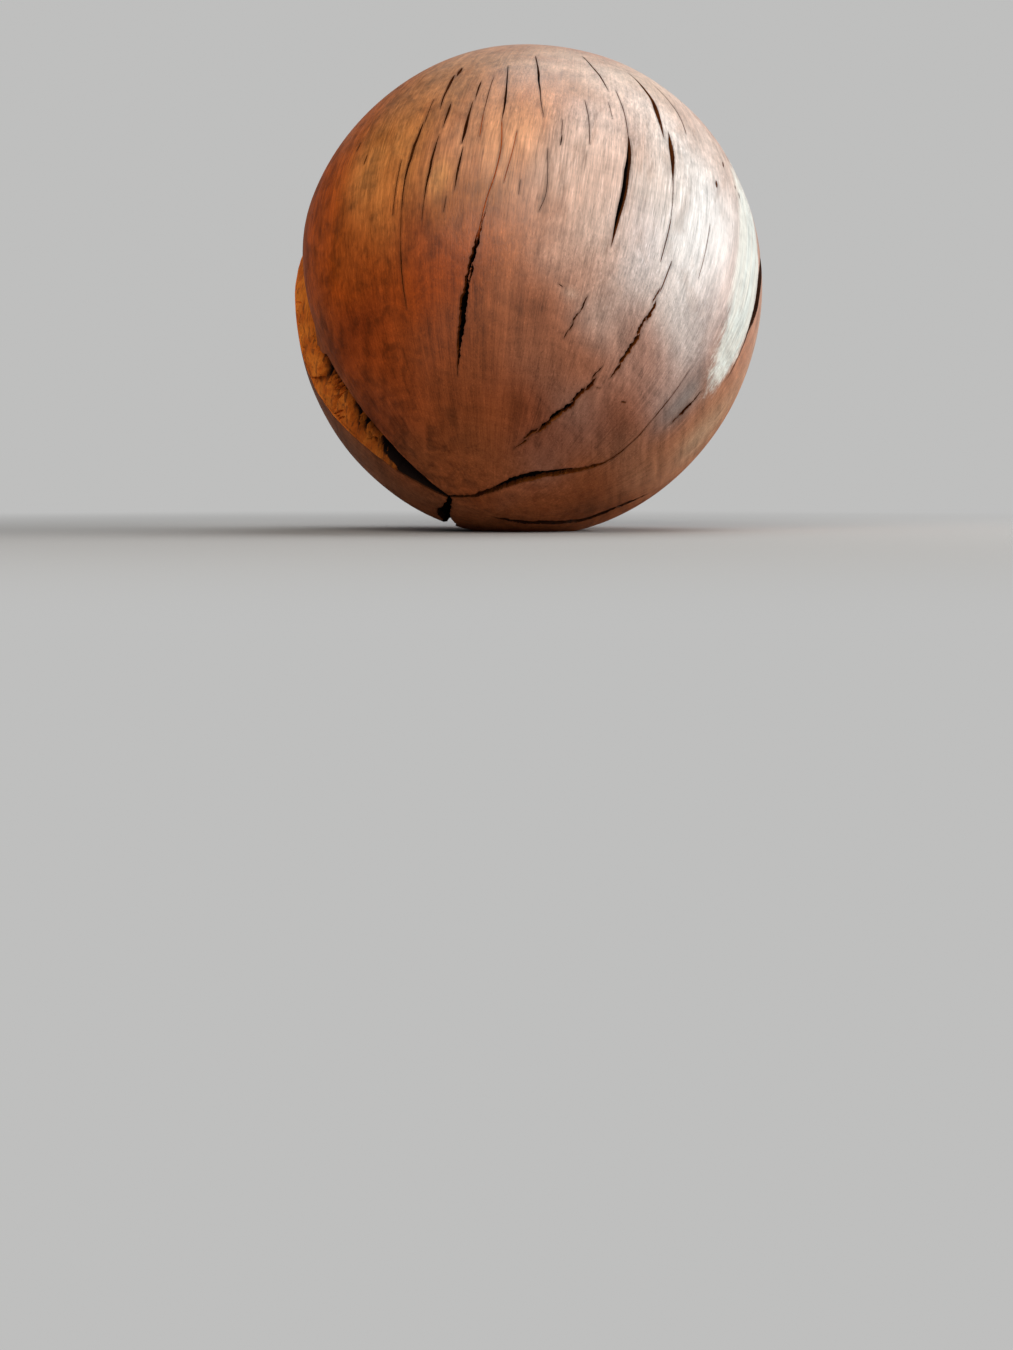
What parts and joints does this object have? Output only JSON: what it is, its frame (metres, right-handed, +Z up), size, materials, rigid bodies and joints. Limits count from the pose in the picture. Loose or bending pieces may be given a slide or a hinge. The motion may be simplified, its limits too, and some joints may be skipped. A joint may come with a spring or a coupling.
{
  "type": "wooden ball",
  "caption": "Large solid turned wooden ball with a great split from the pith and drying checks along the grain, resting on a small flat.",
  "frame": {"origin": "centre of the small flat underneath, on the surface that the ball rests on", "axes": "+Z up, -Y towards the side with the most checks, with the great crack low on the -X side"},
  "size_m": [0.4584, 0.4624, 0.472],
  "materials": {
    "ball_wood": "sanded and oiled to a satin sheen, red-brown with a paler sapwood side, raw torn wood inside the cracks"
  },
  "bodies": {
    "root": {"ball": "ball_wood"}
  },
  "joints": []
}
